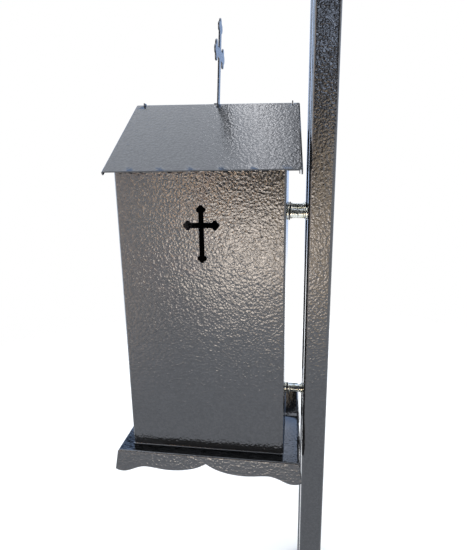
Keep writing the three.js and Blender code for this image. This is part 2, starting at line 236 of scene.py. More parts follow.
class Nodes:
    """Adds nodes to the tree of a material or a world."""

    def __init__(self, owner):
        owner.use_nodes = True
        self.tree = owner.node_tree
        self.tree.nodes.clear()

    def add(self, kind, settings=None, sockets=None, output=0):
        """One node: its settings first, then its sockets' values or links. Gives one of its outputs."""
        node = self.tree.nodes.new(kind)
        for name, value in (settings or {}).items():
            if name == "stops":
                self._set_stops(node.color_ramp, value)
            else:
                setattr(node, name, value)
        for name, value in (sockets or {}).items():
            if isinstance(value, Wire):
                self.tree.links.new(value.socket, node.inputs[name])
            elif isinstance(value, (tuple, list)) and len(value) == 3 and node.inputs[name].type == "RGBA":
                node.inputs[name].default_value = (*value, 1)
            else:
                node.inputs[name].default_value = value
        return Wire(self, node.outputs[output]) if len(node.outputs) else None

    @staticmethod
    def _set_stops(ramp, stops):
        while len(ramp.elements) > 1:
            ramp.elements.remove(ramp.elements[-1])
        for index, (place, level) in enumerate(stops):
            element = ramp.elements[0] if index == 0 else ramp.elements.new(place)
            element.position = place
            element.color = (level, level, level, 1) if isinstance(level, (int, float)) else (*level, 1)

    def place(self):
        """Place on the object, which is the place in the model's frame."""
        return self.add("ShaderNodeTexCoord", output="Object")

    def noise(self, vector, size, detail=2, roughness=0.5, output="Fac"):
        """Soft noise whose lumps have about the given size."""
        sockets = {"Vector": vector, "Scale": 1 / size, "Detail": detail, "Roughness": roughness}
        return self.add("ShaderNodeTexNoise", None, sockets, output)

    def band(self, value, low, high, soft):
        """1 between low and high and 0 outside, with soft edges."""
        return self.smooth(value, low - soft, low + soft) * (1 - self.smooth(value, high - soft, high + soft))

    def smooth(self, value, low, high):
        """0 below low, 1 above high and a smooth step between."""
        settings = {"interpolation_type": "SMOOTHSTEP"}
        sockets = {"Value": value, "From Min": low, "From Max": high}
        return self.add("ShaderNodeMapRange", settings, sockets)

    def mix(self, mask, first, second):
        """From the first colour to the second as the mask goes from 0 to 1."""
        node = self.tree.nodes.new("ShaderNodeMix")
        node.data_type = "RGBA"
        for index, value in ((0, mask), (6, first), (7, second)):
            if isinstance(value, Wire):
                self.tree.links.new(value.socket, node.inputs[index])
            else:
                node.inputs[index].default_value = value if index == 0 else (*value, 1)
        return Wire(self, node.outputs[2])

    def vector(self, operation, *values):
        """A Vector Math node."""
        return self.add("ShaderNodeVectorMath", {"operation": operation}, dict(enumerate(values)))

    def bump(self, height, distance, under=None):
        """A bump in metres over another normal."""
        sockets = {"Height": height, "Distance": distance, "Strength": 1.0}
        if under is not None:
            sockets["Normal"] = under
        return self.add("ShaderNodeBump", None, sockets)

    def finish(self, shader):
        self.add("ShaderNodeOutputMaterial", None, {"Surface": shader})


def enamel(name, look, tint, low_tint, relief):
    """Glossy hammered enamel: shallow dimples in a coat that follows the sheet's slow waves."""
    material = bpy.data.materials.new(name)
    nodes = Nodes(material)
    place = nodes.place()
    drift = nodes.noise(place, look.dimple * 1.6, 1, output="Color")
    drift = nodes.vector("MULTIPLY", nodes.vector("SUBTRACT", drift, (0.5, 0.5, 0.5)), (look.dimple,) * 3)
    warped = nodes.vector("ADD", place, drift)
    cells = nodes.add(
        "ShaderNodeTexVoronoi", {"feature": "SMOOTH_F1"},
        {"Vector": warped, "Scale": 1 / look.dimple, "Smoothness": 0.55}, "Distance",
    )
    lumps = nodes.noise(warped, look.dimple * 0.8, 2, 0.55)
    height = cells * 0.9 + lumps * 0.8
    slow = nodes.noise(place, look.wave_size, 1)
    waved = nodes.bump(slow, look.wave)
    normal = nodes.bump(height, relief, waved)
    cloud = nodes.noise(place, 0.03, 3, 0.6)
    dimples = nodes.smooth(height, 0.45, 1.15)
    base = nodes.mix(dimples * 0.55 + cloud * 0.3, tint, low_tint)
    shader = nodes.add("ShaderNodeBsdfPrincipled", None, {
        "Base Color": base,
        "Metallic": look.metal,
        "Roughness": look.gloss + cloud * 0.06 + dimples * 0.04,
        "Normal": normal,
        "IOR": 1.5,
    })
    nodes.finish(shader)
    return material


def zinc(name, look):
    """Bright zinc plating, a little yellowed in clouds, with fine turning marks."""
    material = bpy.data.materials.new(name)
    nodes = Nodes(material)
    place = nodes.place()
    cloud = nodes.noise(place, 0.006, 3, 0.6)
    marks = nodes.noise(nodes.vector("MULTIPLY", place, (1, 9, 1)), 0.004, 3, 0.6)
    base = nodes.mix(nodes.smooth(cloud, 0.42, 0.72), look.zinc, look.zinc_tint)
    shader = nodes.add("ShaderNodeBsdfPrincipled", None, {
        "Base Color": base,
        "Metallic": 1.0,
        "Roughness": 0.16 + cloud * 0.18,
        "Normal": nodes.bump(marks, 0.00006),
    })
    nodes.finish(shader)
    return material


def rubber(name, look):
    """Matt black rubber with a faint grain."""
    material = bpy.data.materials.new(name)
    nodes = Nodes(material)
    grain = nodes.noise(nodes.place(), 0.0006, 3, 0.6)
    base = nodes.mix(grain, look.rubber, tuple(2 * level for level in look.rubber))
    shader = nodes.add("ShaderNodeBsdfPrincipled", None, {
        "Base Color": base,
        "Roughness": 0.55 + grain * 0.25,
        "Normal": nodes.bump(grain, 0.00004),
    })
    nodes.finish(shader)
    return material


def finish_for(slot, look):
    """The material of one of the record's slots, made once."""
    name = f"{slot}_finish"
    known = bpy.data.materials.get(name)
    if known:
        return known
    if slot == "zinc":
        return zinc(name, look)
    if slot == "seal_rubber":
        return rubber(name, look)
    # The body's inside gets painted shade: the near-black inner colour in place of the enamel's own colours
    if slot == "inner_painted_shade":
        return enamel(name, look, look.inner, look.inner, look.relief * 0.5)
    return enamel(name, look, look.paint, look.paint_low, look.relief)


# Meshes


def arc(centre, radius, start, stop, steps):
    """Points on an arc, both ends included. Angles are in degrees."""
    points = []
    for step in range(steps + 1):
        turn = math.radians(start + (stop - start) * step / steps)
        points.append((centre[0] + radius * math.cos(turn), centre[1] + radius * math.sin(turn)))
    return points


def rounded_rectangle(width, depth, radius, steps=6):
    """Closed outline of a rectangle with round corners."""
    across, along = width / 2 - radius, depth / 2 - radius
    points = []
    corners = ((across, -along), (across, along), (-across, along), (-across, -along))
    for index, corner in enumerate(corners):
        start = 90 * index - 90
        points += arc(corner, radius, start, start + 90, steps)
    return points


def skin(mesh, rings, closed=True, around=False):
    """Faces between neighbouring rings of points. Around joins the last ring to the first."""
    rows = [[mesh.verts.new(point) for point in ring] for ring in rings]
    pairs = list(zip(rows, rows[1:])) + ([(rows[-1], rows[0])] if around else [])
    count = len(rows[0])
    for lower, upper in pairs:
        for index in range(count if closed else count - 1):
            after = (index + 1) % count
            mesh.faces.new((lower[index], lower[after], upper[after], upper[index]))
    return rows


def prism(mesh, outline, start, stop, place):
    """Closed block of an outline between two depths; place turns (u, v, depth) into a point."""
    rows = skin(mesh, [[place(u, v, depth) for u, v in outline] for depth in (start, stop)])
    mesh.faces.new(rows[0])
    mesh.faces.new(rows[1])


def lathe(mesh, profile, centre, steps, limit=None):
    """Closed ring about the Y axis through a centre, from a closed profile of (radius, y)."""
    rings = []
    for radius, y in profile:
        ring = []
        for step in range(steps):
            turn = 2 * math.pi * step / steps
            reach = min(radius, limit(turn)) if limit else radius
            ring.append(Vector((centre.x + reach * math.cos(turn), y, centre.z + reach * math.sin(turn))))
        rings.append(ring)
    skin(mesh, rings, around=True)


def bake_modifiers(thing):
    """Replace an object's mesh by what its modifiers make of it."""
    graph = bpy.context.evaluated_depsgraph_get()
    mesh = bpy.data.meshes.new_from_object(thing.evaluated_get(graph))
    old = thing.data
    thing.modifiers.clear()
    thing.data = mesh
    bpy.data.meshes.remove(old)


def make_object(name, mesh):
    """Close a bmesh into an object of the scene."""
    bmesh.ops.remove_doubles(mesh, verts=mesh.verts, dist=1e-6)
    bmesh.ops.recalc_face_normals(mesh, faces=mesh.faces)
    data = bpy.data.meshes.new(name)
    mesh.to_mesh(data)
    mesh.free()
    thing = bpy.data.objects.new(name, data)
    bpy.context.scene.collection.objects.link(thing)
    return thing


def carve(thing, cutters):
    """Cut each cutter out of a piece and delete the cutters."""
    for cutter in cutters:
        cut = thing.modifiers.new("cut", "BOOLEAN")
        cut.object = cutter
        cut.solver = "EXACT"
    bake_modifiers(thing)
    for cutter in cutters:
        bpy.data.objects.remove(cutter)


def soften(thing, rounding, steps=2, sharp=40):
    """Round a piece's sharp edges and shade it smooth, with its flat faces kept flat."""
    if rounding:
        bevel = thing.modifiers.new("rounding", "BEVEL")
        bevel.width = rounding
        bevel.segments = steps
        bevel.limit_method = "ANGLE"
        bevel.angle_limit = math.radians(sharp)
        bevel.miter_outer = "MITER_ARC"
    bake_modifiers(thing)
    thing.data.shade_smooth()
    thing.data.set_sharp_from_angle(angle=math.radians(sharp))
    thing.modifiers.new("even shading", "WEIGHTED_NORMAL").keep_sharp = True
    bake_modifiers(thing)


def dress(thing, slot, look, *nodes):
    """Give a piece its finish, and let it stand for CAD nodes on the cross."""
    thing.data.materials.clear()
    thing.data.materials.append(finish_for(slot, look))
    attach(thing, BODY)
    if nodes:
        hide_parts(*nodes)


# Tubes


def tube_piece(name, node, axis, across, slopes, stretch, settings):
    """Square tube in its CAD node's box, its ends cut at a slope and stretched to close the welds."""
    low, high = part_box(node)
    middle = (low + high) / 2
    side = axis.cross(across)
    width = abs((high - low).dot(across))
    depth = abs((high - low).dot(side))
    span = (high - low).dot(axis) / 2
    size = min(width, depth)
    rings = []
    wall = settings.tubes.wall
    corner = settings.tubes.corner
    outer = rounded_rectangle(size, size, corner)
    inner = rounded_rectangle(size - 2 * wall, size - 2 * wall, corner - wall)
    ends = []
    for sign, slope, extra in ((-1, slopes[0], stretch[0]), (1, slopes[1], stretch[1])):
        ends.append((sign * (span - abs(slope) * size / 2 + extra), slope))
    for outline, order in ((outer, (0, 1)), (inner, (1, 0))):
        for index in order:
            place, slope = ends[index]
            rings.append([middle + axis * (place + slope * u) + across * u + side * v for u, v in outline])
    mesh = bmesh.new()
    skin(mesh, rings, around=True)
    thing = make_object(name, mesh)
    soften(thing, settings.tubes.edge)
    dress(thing, "cross_paint", settings.finish, node)
    return thing


def weld_bead(mesh, start, stop, first, second, leg, ripple):
    """Rippled fillet in the corner between two faces, which look along first and second."""
    run = stop - start
    count = max(4, round(run.length / ripple) * 6)
    rings = []
    for step in range(count + 1):
        along = step / count
        wave = 1 + 0.09 * math.sin(2 * math.pi * along * count / 6)
        taper = min(1, 8 * along + 0.35, 8 * (1 - along) + 0.35)
        reach = leg * wave * taper
        base = start + run * along
        ring = [base]
        for u, v in arc((0, 0), 1, 0, 90, 6):
            ring.append(base + first * (reach * u ** 1.2) + second * (reach * v ** 1.2))
        rings.append(ring)
    rows = skin(mesh, rings)
    mesh.faces.new(rows[0])
    mesh.faces.new(rows[-1])


class GRAVECROSS_OT_tubes(bpy.types.Operator):
    """Make the uprights, rails and arms of the cross with their welds"""

    bl_idname = "gravecross.tubes"
    bl_label = "Tubes and Welds"

    def execute(self, context):
        settings = context.scene.grave_cross
        tubes = settings.tubes
        mitre, root = tubes.mitre_gap, tubes.root_gap
        tube_piece("right_upright", "upright_right", Z, X, (0, 1), (0, mitre), settings)
        tube_piece("left_upright", "upright_left", Z, X, (0, -1), (0, mitre), settings)
        tube_piece("top_tube", "top_rail", X, Z, (-1, 1), (mitre, mitre), settings)
        tube_piece("rung", "lower_rung", X, Z, (0, 0), (root, root), settings)
        for side, sign in (("right", 1), ("left", -1)):
            for level, rise in (("upper", 1), ("lower", -1)):
                slopes = (0, rise) if sign > 0 else (-rise, 0)
                stretch = (root, mitre) if sign > 0 else (mitre, root)
                tube_piece(f"{side}_arm_{level}", f"arm_{side}_{level}", X, Z, slopes, stretch, settings)
            slopes = (-sign, sign)
            tube_piece(f"{side}_arm_end", f"arm_{side}_end", Z, X, slopes, (mitre, mitre), settings)
        mesh = bmesh.new()
        butted = ["arm_right_upper", "arm_right_lower", "arm_left_upper", "arm_left_lower", "lower_rung"]
        for node in butted:
            self.weld_root(mesh, node, tubes)
        welds = make_object("welds", mesh)
        soften(welds, 0)
        dress(welds, "cross_paint", settings.finish)
        return {"FINISHED"}

    @staticmethod
    def weld_root(mesh, node, tubes):
        """Beads along the upper and lower edge where a tube's butt end meets an upright."""
        low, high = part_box(node)
        reach = (high.y - low.y) / 2 - tubes.corner
        middle = (high.y + low.y) / 2
        ends = [(low.x - tubes.root_gap, X), (high.x + tubes.root_gap, -X)]
        if node.startswith("arm_right"):
            ends = ends[:1]
        elif node.startswith("arm_left"):
            ends = ends[1:]
        for x, away in ends:
            for z, out in ((high.z, Z), (low.z, -Z)):
                start, stop = Vector((x, middle - reach, z)), Vector((x, middle + reach, z))
                weld_bead(mesh, start, stop, away, out, tubes.weld, tubes.ripple)


# Budded crosses


def bud(reach, bar, lobe, out, back, steps=14):
    """Trefoil end of an arm along +U, from the bar's upper edge round to its lower edge."""
    tip = (reach - lobe, 0.0)
    side = (reach - back, out)
    gap = math.hypot(tip[0] - side[0], tip[1] - side[1])
    toward = math.degrees(math.atan2(tip[1] - side[1], tip[0] - side[0]))
    half = math.degrees(math.acos(gap / 2 / lobe))
    start = 180 - math.degrees(math.asin((bar / 2 - out) / lobe))
    upper = arc(side, lobe, start, toward + half, steps)
    middle = arc(tip, lobe, toward + 180 - half, -(toward + 180 - half), steps)[1:-1]
    lower = [(u, -v) for u, v in reversed(upper)]
    return upper + middle + lower


def budded_cross(sizes, foot):
    """Outline of a budded cross in (u, v), with its crossing at the origin and v upwards."""
    bar, lobe, out, back = sizes["bar"], sizes["lobe"], sizes["lobe_out"], sizes["lobe_back"]
    half = bar / 2
    outline = []
    # Each arm is drawn along +U and turned into place, going round clockwise from the top
    arms = ((sizes["top"], 90), (sizes["reach"], 0), (sizes["bottom"], -90), (sizes["reach"], 180))
    for reach, turn in arms:
        if turn == -90 and not foot:
            arm = [(reach, half), (reach, -half)]
        else:
            arm = bud(reach, bar, lobe, out, back)
        c, s = math.cos(math.radians(turn)), math.sin(math.radians(turn))
        outline += [(u * c - v * s, u * s + v * c) for u, v in arm]
        corner = (half, -half)
        outline.append((corner[0] * c - corner[1] * s, corner[0] * s + corner[1] * c))
    return outline


WINDOW_CROSS = {
    "top": 0.0235, "bottom": 0.0445, "reach": 0.0215, "bar": 0.006,
    "lobe": 0.003, "lobe_out": 0.0026, "lobe_back": 0.0054,
}
FINIAL_CROSS = {
    "top": 0.041, "bottom": 0.066, "reach": 0.033, "bar": 0.0115,
    "lobe": 0.0052, "lobe_out": 0.0068, "lobe_back": 0.0104,
}
FINIAL_SHEET = 0.002
FINIAL_RISE = 0.058
# How far the weld bead is sunk into the ridge, and the distance between its ripples
FINIAL_SINK, FINIAL_RIPPLE = 0.0002, 0.0017
# How far a slot's cutter reaches under and over the ridge
SLOT_DEPTH, SLOT_RISE = 0.03, 0.01


# Lantern


def block(name, low, high):
    """Plain block, used as a cutter."""
    mesh = bmesh.new()
    outline = [(low[0], low[1]), (high[0], low[1]), (high[0], high[1]), (low[0], high[1])]
    prism(mesh, outline, low[2], high[2], lambda u, v, depth: Vector((u, v, depth)))
    return make_object(name, mesh)


class GRAVECROSS_OT_body(bpy.types.Operator):
    """Make the lantern's body of folded sheet, with its mouth and windows"""

    bl_idname = "gravecross.body"
    bl_label = "Lantern Body"

    def execute(self, context):
        settings = context.scene.grave_cross
        lantern = settings.lantern
        low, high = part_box("lantern_body")
        middle = (low + high) / 2
        width, depth = high.x - low.x, high.y - low.y
        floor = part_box("base_plate")[1].z
        outer = rounded_rectangle(width, depth, lantern.bend)
        inner = rounded_rectangle(
            width - 2 * lantern.sheet, depth - 2 * lantern.sheet, lantern.bend - lantern.sheet
        )
        rings = []
        for outline, levels in ((outer, (floor, high.z)), (inner, (high.z, floor))):
            rings += [[Vector((u, middle.y + v, z)) for u, v in outline] for z in levels]
        mesh = bmesh.new()
        skin(mesh, rings, around=True)
        body = make_object("body_walls", mesh)
        carve(body, [self.mouth(lantern, low, high, floor), *self.windows(lantern, low, high, floor)])
        soften(body, lantern.edge)
        dress(body, "lantern_paint", settings.finish, "lantern_body")
        # Faces inside the body take the second slot, a near-black painted shade for the shade that falls
        # inside the lantern
        body.data.materials.append(finish_for("inner_painted_shade", settings.finish))
        inside = (width / 2 - lantern.sheet * 0.6, depth / 2 - lantern.sheet * 0.6)
        for face in body.data.polygons:
            if abs(face.center.x) < inside[0] and abs(face.center.y - middle.y) < inside[1]:
                face.material_index = 1
        return {"FINISHED"}

    @staticmethod
    def mouth(lantern, low, high, floor):
        """Cutter of the arched front opening."""
        half = (high.x - low.x) / 2 - lantern.mouth_side
        sill, spring = floor + lantern.mouth_sill, high.z - lantern.mouth_top - lantern.mouth_arch
        outline = [(-half, sill), (half, sill)]
        outline += [(half * u, spring + lantern.mouth_arch * v) for u, v in arc((0, 0), 1, 0, 180, 40)]
        mesh = bmesh.new()
        reach = 4 * lantern.sheet
        prism(mesh, outline, low.y - reach, low.y + reach, lambda u, v, y: Vector((u, y, v)))
        return make_object("mouth", mesh)

    @staticmethod
    def windows(lantern, low, high, floor):
        """Cutters of the budded crosses in the side walls."""
        y = (low.y + high.y) / 2 + lantern.window_back
        z = floor + lantern.window_rise
        cutters = []
        for x in (low.x, high.x):
            mesh = bmesh.new()
            reach = 3 * lantern.sheet
            outline = budded_cross(WINDOW_CROSS, foot=True)
            prism(mesh, outline, x - reach, x + reach, lambda u, v, depth: Vector((depth, y + u, z + v)))
            cutters.append(make_object("window", mesh))
        return cutters


def bezier(points, steps):
    """Points on a cubic or quadratic curve, the first one left out."""
    made = []
    for step in range(1, steps + 1):
        level = [Vector(point) for point in points]
        along = step / steps
        while len(level) > 1:
            level = [a.lerp(b, along) for a, b in zip(level, level[1:])]
        made.append(level[0])
    return made


def apron_edge(half, flare, steps=10):
    """Lower edge of half an apron, from its middle to its corner, as (along, depth)."""
    corner, lobe, crest = 0.0262, 0.0286, 0.0202
    swag, cusp, hook = 0.0226, 0.0104, 0.0066
    edge = [Vector((0, cusp))]
    waves = (
        ((0.08, cusp + hook), (0.22, swag), (0.415, swag)),
        ((0.52, swag), (0.6, crest), (0.68, crest)),
        ((0.78, crest), (0.86, lobe), (0.94, lobe)),
    )
    for wave in waves:
        controls = [edge[-1]] + [Vector((part * half, depth)) for part, depth in wave]
        edge += bezier(controls, steps)
    tip = Vector((half + corner * math.sin(flare), corner))
    return edge + bezier([edge[-1], Vector((half, lobe)), tip], steps)


class GRAVECROSS_OT_base(bpy.types.Operator):
    """Make the base plate with its four wavy aprons, and the fillet round the body's foot"""

    bl_idname = "gravecross.base"
    bl_label = "Base Plate"

    def execute(self, context):
        settings = context.scene.grave_cross
        lantern = settings.lantern
        low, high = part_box("lantern_body")
        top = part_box("base_plate")[1].z
        front, rear = low.y - lantern.front_margin, high.y + lantern.rear_margin
        middle = Vector((0, (front + rear) / 2, top))
        halves = (high.x + lantern.side_margin, (rear - front) / 2)
        mesh = bmesh.new()
        bend = lantern.plate_bend
        flat = [half - bend for half in halves]
        corners = [(flat[0], flat[1]), (-flat[0], flat[1]), (-flat[0], -flat[1]), (flat[0], -flat[1])]
        mesh.faces.new([mesh.verts.new(middle + Vector((u, v, 0))) for u, v in corners])
        for quarter in range(4):
            half, distance = (halves[0], halves[1]) if quarter % 2 == 0 else (halves[1], halves[0])
            turn = Matrix.Rotation(math.radians(90 * quarter), 3, "Z")
            rings = self.apron(half, distance, bend, lantern.flare)
            skin(mesh, [[middle + turn @ point for point in ring] for ring in rings], closed=False)
        plate = make_object("plate_and_aprons", mesh)
        if plate.data.polygons[0].normal.z < 0:
            plate.data.flip_normals()
        shell = plate.modifiers.new("sheet", "SOLIDIFY")
        shell.thickness = lantern.sheet
        shell.offset = -1
        shell.use_even_offset = True
        soften(plate, lantern.edge, sharp=50)
        dress(plate, "lantern_paint", settings.finish, "base_plate")
        self.fillet(settings, low, high, top)
        return {"FINISHED"}

    @staticmethod
    def apron(half, distance, bend, flare):
        """Rows of points from the plate's flat round the bend and down to the wavy edge, towards -Y."""
        edge = apron_edge(half, flare)
        edge = [Vector((-point.x, point.y)) for point in reversed(edge[1:])] + edge
        rings = []
        arc_end = math.pi / 2 - flare
        used = bend * math.tan(arc_end / 2)
        for step in range(9):
            turn = arc_end * step / 8
            out, drop = bend * math.sin(turn), bend * (1 - math.cos(turn))
            rings.append([
                Vector((
                    (half - bend + out) * point.x / (half + point.y * math.sin(flare)),
                    -(distance - bend + out),
                    -drop,
                ))
                for point in edge
            ])
        for step in range(1, 6):
            ring = []
            for point in edge:
                along = (point.y - used) * step / 5
                shift = out + along * math.sin(flare)
                across = point.x / (half + point.y * math.sin(flare))
                ring.append(Vector((
                    across * (half - bend + shift),
                    -(distance - bend + shift),
                    -(drop + along * math.cos(flare)),
                )))
            rings.append(ring)
        return rings

    @staticmethod
    def fillet(settings, low, high, top):
        """Small fillet of weld and paint round the foot of the body."""
        leg = settings.lantern.seam
        width, depth, bend = high.x - low.x, high.y - low.y, settings.lantern.bend
        middle = (low.y + high.y) / 2
        rings = []
        for out, rise in [(0, 0)] + [(leg * (1 - u), leg * (1 - v)) for u, v in arc((0, 0), 1, 0, 90, 5)]:
            outline = rounded_rectangle(width + 2 * out, depth + 2 * out, bend + out)
            rings.append([Vector((u, middle + v, top + rise)) for u, v in outline])
        mesh = bmesh.new()
        skin(mesh, rings, around=True)
        seam = make_object("foot_seam", mesh)
        soften(seam, 0)
        dress(seam, "lantern_paint", settings.finish)


class RoofShape:
    """Form of the lid, read from the CAD: its eaves, its ridge and how both have settled."""

    def __init__(self, roof):
        low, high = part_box("lid_roof")
        self.half = high.x
        self.middle = (low.y + high.y) / 2
        self.end = (high.y - low.y) / 2 - roof.skew
        self.drop = roof.drop
        self.ridge = high.z - roof.drop
        self.pitch = math.atan2(self.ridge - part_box("base_plate")[1].z - roof.eave, self.half)

    def settle(self, x, y, z, skew=0.0):
        """Place of a point given by its distance y from the ridge's middle."""
        outwards, rearwards = abs(x) / self.half, y / self.end
        along = self.middle + y + skew * rearwards * outwards
        return Vector((x, along, z - self.drop * rearwards * (1 - outwards)))


def finial_foot(roof):
    """Place along Y of the finial's middle plane at the ridge."""
    below = FINIAL_CROSS["bottom"] - FINIAL_RISE
    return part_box("finial_cross")[0].y + FINIAL_SHEET / 2 + below * math.sin(roof.finial_lean)


class GRAVECROSS_OT_roof(bpy.types.Operator):
    """Make the folded roof sheet with its turned-down ends"""

    bl_idname = "gravecross.roof"
    bl_label = "Roof Sheet"

    def execute(self, context):
        settings = context.scene.grave_cross
        lantern, roof = settings.lantern, settings.roof
        shape = RoofShape(roof)
        mesh = bmesh.new()
        rings = []
        for y, depth in self.rows(roof, shape.end):
            section = self.section(roof, lantern.sheet, shape, depth)
            rings.append([shape.settle(point.x, y, point.y, roof.skew) for point in section])
        skin(mesh, rings, closed=False)
        sheet = make_object("roof_sheet", mesh)
        if sum(face.normal.z * face.area for face in sheet.data.polygons) < 0:
            sheet.data.flip_normals()
        shell = sheet.modifiers.new("sheet", "SOLIDIFY")
        shell.thickness = lantern.sheet
        shell.offset = -1
        shell.use_even_offset = True
        bake_modifiers(sheet)
        carve(sheet, self.slots(roof, shape.ridge))
        soften(sheet, lantern.edge, sharp=50)
        dress(sheet, "lantern_paint", settings.finish, "lid_roof")
        return {"FINISHED"}

    @staticmethod
    def rows(roof, end):
        """Place along the ridge and depth under the outer face of each row, round both end folds."""
        bend = roof.fold_bend
        turned = [(end - bend + bend * u, bend - bend * v) for u, v in arc((0, 0), 1, 0, 90, 6)]
        turned += [(end * step / 12 * 0.93, 0) for step in range(11, -1, -1)]
        front, rear = [], []
        for fold, half in ((roof.front_fold, front), (roof.fold, rear)):
            tip = fold + bend * 0.6
            half += [(end, tip), (end, (tip + bend) / 2), *turned]
        return [(-y, depth) for y, depth in front] + [(y, depth) for y, depth in reversed(rear[:-1])]

    @staticmethod
    def section(roof, sheet, shape, depth):
        """Points across both slopes at a depth under the outer face, mitred at the ridge."""
        bend, pitch = roof.ridge_bend, shape.pitch
        slant = Vector((math.cos(pitch), -math.sin(pitch)))
        normal = Vector((math.sin(pitch), math.cos(pitch)))
        centre = Vector((0, shape.ridge - bend))
        length_out = (shape.half - sheet * math.sin(pitch) - (centre + normal * bend).x) / math.cos(pitch)
        points = []
        for side in (-1, 1):
            line = []
            for step in range(4):
                turn = pitch * step / 4
                reach = max(bend - depth, 0)
                line.append(centre + Vector((math.sin(turn), math.cos(turn))) * reach)
            first = max(depth - bend, 0) * math.tan(pitch)
            for step in range(15):
                along = first + (length_out - first) * step / 14
                line.append(centre + normal * (bend - depth) + slant * along)
            line = [Vector((side * point.x, point.y)) for point in line]
            points += line[:0:-1] if side < 0 else line
        return points

    @staticmethod
    def slots(roof, ridge):
        """Cutters of the slots along the ridge for the gable tabs and the finial's foot."""
        places = []
        for node in ("lid_gable_front", "lid_gable_rear"):
            low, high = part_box(node)
            places.append((roof.slot_width / 2, low.y, high.y))
        foot, sheet = finial_foot(roof), FINIAL_SHEET / 2
        places.append((FINIAL_CROSS["bar"] / 2 + roof.slot_gap, foot - sheet, foot + sheet))
        cutters = []
        for half, start, stop in places:
            low = (-half, start - roof.slot_gap, ridge - SLOT_DEPTH)
            cutters.append(block("slot", low, (half, stop + roof.slot_gap, ridge + SLOT_RISE)))
        return cutters


class GRAVECROSS_OT_lid_plates(bpy.types.Operator):
    """Make the gable plates under the roof and the finial cross on its ridge"""

    bl_idname = "gravecross.lid_plates"
    bl_label = "Gables and Finial"

    def execute(self, context):
        settings = context.scene.grave_cross
        roof = settings.roof
        shape = RoofShape(roof)
        for name, node in (("front_gable", "lid_gable_front"), ("rear_gable", "lid_gable_rear")):
            low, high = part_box(node)
            tab = roof.tab
            under = shape.ridge - settings.lantern.sheet - tab * math.tan(shape.pitch) - roof.tuck
            shoulder = shape.settle(tab, (low.y + high.y) / 2 - shape.middle, under).z
            outline = [
                (low.x, low.z), (high.x, low.z), (tab, shoulder),
                (tab, high.z), (-tab, high.z), (-tab, shoulder),
            ]
            mesh = bmesh.new()
            prism(mesh, outline, low.y, high.y, lambda u, v, y: Vector((u, y, v)))
            gable = make_object(name, mesh)
            soften(gable, settings.lantern.edge)
            dress(gable, "lantern_paint", settings.finish, node)
        self.finial(settings, shape.ridge)
        return {"FINISHED"}

    @staticmethod
    def finial(settings, ridge):
        """Budded cross of flat sheet that leans back a little, with a weld bead before its foot."""
        roof = settings.roof
        lean = Matrix.Rotation(-roof.finial_lean, 3, "X")
        base = Vector((0, finial_foot(roof), ridge))
        half = FINIAL_SHEET / 2
        mesh = bmesh.new()
        prism(
            mesh, budded_cross(FINIAL_CROSS, foot=False), -half, half,
            lambda u, v, depth: base + lean @ Vector((u, depth, v + FINIAL_RISE)),
        )
        finial = make_object("finial", mesh)
        soften(finial, roof.finial_edge, 3)
        dress(finial, "lantern_paint", settings.finish, "finial_cross")
        mesh = bmesh.new()
        stop = base - Y * half - Z * FINIAL_SINK
        for side in (X, -X):
            weld_bead(mesh, stop - Y * roof.finial_bead, stop, side, Z, roof.finial_weld, FINIAL_RIPPLE)
        bead = make_object("finial_weld", mesh)
        soften(bead, 0)
        dress(bead, "lantern_paint", settings.finish)


# Fixings


HEAD_DIMPLE = 0.0005


def hexagon(flats, blunt):
    """Reach of a hexagon's outline at an angle, its corners blunted a little."""
    apothem = flats / 2
    sixth = math.pi / 3

    def reach(turn):
        off = (turn + sixth / 2 + math.pi / 2) % sixth - sixth / 2
        return min(apothem / math.cos(off), apothem / math.cos(sixth / 2) - blunt)

    return reach


def nut_profile(bore, flats, sink, start, stop, chamfered=(True, True)):
    """Closed profile of a nut: its faces, its chamfers and its bore with a countersink."""
    widest = flats / 2 / math.cos(math.pi / 6)
    face = flats / 2 * 0.95
    slope = math.tan(math.radians(30))
    profile = [(bore, start + sink), (bore + sink, start), (face, start)]
    for step in range(1, 6):
        radius = face + (widest - face) * step / 5
        profile.append((radius, start + (radius - face) * slope if chamfered[0] else start))
    for step in range(5, 0, -1):
        radius = face + (widest - face) * step / 5
        profile.append((radius, stop - (radius - face) * slope if chamfered[1] else stop))
    return profile + [(face, stop), (bore + sink, stop), (bore, stop - sink)]


def washer_profile(bore, radius, start, stop, rounding):
    """Closed profile of a washer with a rounded rim."""
    profile = [(bore, start), (radius - rounding, start)]
    profile += [(radius - rounding + rounding * u, start + rounding + rounding * v)
                for u, v in arc((0, 0), 1, -90, 0, 4)][1:]
    profile += [(radius - rounding + rounding * u, stop - rounding + rounding * v)
                for u, v in arc((0, 0), 1, 0, 90, 4)]
    return profile + [(bore, stop)]


